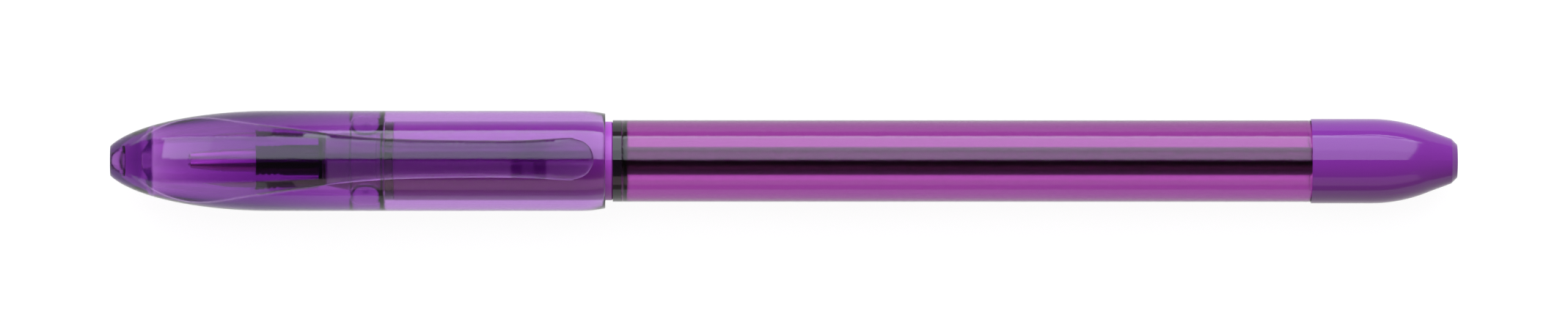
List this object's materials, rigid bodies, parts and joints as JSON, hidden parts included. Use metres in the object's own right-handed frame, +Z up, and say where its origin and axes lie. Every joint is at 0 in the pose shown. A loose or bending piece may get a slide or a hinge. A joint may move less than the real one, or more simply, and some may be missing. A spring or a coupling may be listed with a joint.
{
  "type": "capped ballpoint pen",
  "caption": "Ballpoint pen in clear violet plastic with a long clip cap, a rubber grip, a black ink refill and an opaque end plug.",
  "frame": {"origin": "on the surface the pen lies on, under the middle of its box; the cap is towards -X, the end plug towards +X, the clip is up", "axes": "+X along the pen from the cap to the end plug, +Z up"},
  "size_m": [0.15, 0.0112, 0.014],
  "materials": {
    "clear_violet": "polished clear plastic, tinted violet",
    "violet_rubber": "smooth soft rubber",
    "black_ring": "glossy black",
    "clear_tube": "clear extruded tube",
    "black_ink": "black paste",
    "black_plastic": "moulded, black",
    "nickel_steel": "turned, plated",
    "ball_steel": "polished",
    "violet_plastic": "polished opaque plastic"
  },
  "bodies": {
    "pen": {"barrel": "clear_violet", "nose": "violet_plastic", "grip": "violet_rubber", "grip_front_ring": "black_ring", "grip_rear_ring": "black_ring", "refill_tube": "clear_tube", "ink": "black_ink", "tip_holder": "black_plastic", "tip": "nickel_steel", "end_plug": "violet_plastic"},
    "cap": {"cap": "clear_violet"},
    "ball": {"writing_ball": "ball_steel"}
  },
  "joints": [
    {"name": "cap_pull", "type": "slide", "parent": "pen", "child": "cap", "axis": [-1, 0, 0.0099], "range_m": [0, 0.055]},
    {"name": "ball_roll", "type": "hinge", "parent": "pen", "child": "ball", "pos_m": [-0.06535, 0, 0.00601], "axis": [0, 1, 0], "continuous": true}
  ]
}
